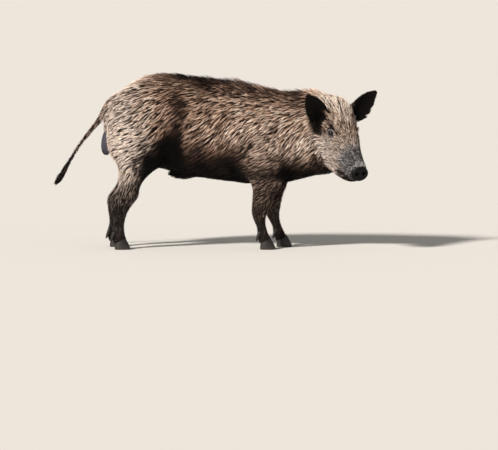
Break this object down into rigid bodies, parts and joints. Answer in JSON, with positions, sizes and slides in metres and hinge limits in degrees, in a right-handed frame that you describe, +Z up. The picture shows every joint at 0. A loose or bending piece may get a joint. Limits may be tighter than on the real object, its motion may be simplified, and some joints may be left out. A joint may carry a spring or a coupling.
{
  "type": "wild boar",
  "caption": "Life-size still model of a young male wild boar, standing with its head turned to its right, in a coarse brown bristle coat with a dark spinal mane.",
  "frame": {"origin": "on the floor, under the middle of the bounding box", "axes": "+X is the way the trunk points, +Y the animal's left, +Z up; the head is turned towards -Y"},
  "size_m": [1.2918, 0.4398, 0.7009],
  "materials": {
    "coat": "coarse grizzled brown bristles, lying back",
    "face_coat": "short grizzled grey-brown bristles",
    "ear_coat": "short dark brown hair, black inside",
    "leg_coat": "short dark brown-black hair",
    "tail_coat": "dark hair with a black tuft",
    "nose_skin": "bare, moist, blue-black skin",
    "claw_horn": "dark horn, satin",
    "eye": "dark brown, wet and glossy"
  },
  "bodies": {
    "root": {"trunk": "coat", "neck": "coat", "head": "face_coat", "lower_jaw": "face_coat", "ear_left": "ear_coat", "ear_right": "ear_coat", "eye_left": "eye", "eye_right": "eye", "nose_disc": "nose_skin", "tail": "tail_coat", "fore_leg_left": "leg_coat", "claw_fore_left_outer": "claw_horn", "claw_fore_left_inner": "claw_horn", "dewclaw_fore_left_outer": "claw_horn", "dewclaw_fore_left_inner": "claw_horn", "fore_leg_right": "leg_coat", "claw_fore_right_outer": "claw_horn", "claw_fore_right_inner": "claw_horn", "dewclaw_fore_right_outer": "claw_horn", "dewclaw_fore_right_inner": "claw_horn", "hind_leg_left": "leg_coat", "claw_hind_left_outer": "claw_horn", "claw_hind_left_inner": "claw_horn", "dewclaw_hind_left_outer": "claw_horn", "dewclaw_hind_left_inner": "claw_horn", "hind_leg_right": "leg_coat", "claw_hind_right_outer": "claw_horn", "claw_hind_right_inner": "claw_horn", "dewclaw_hind_right_outer": "claw_horn", "dewclaw_hind_right_inner": "claw_horn"}
  },
  "joints": []
}
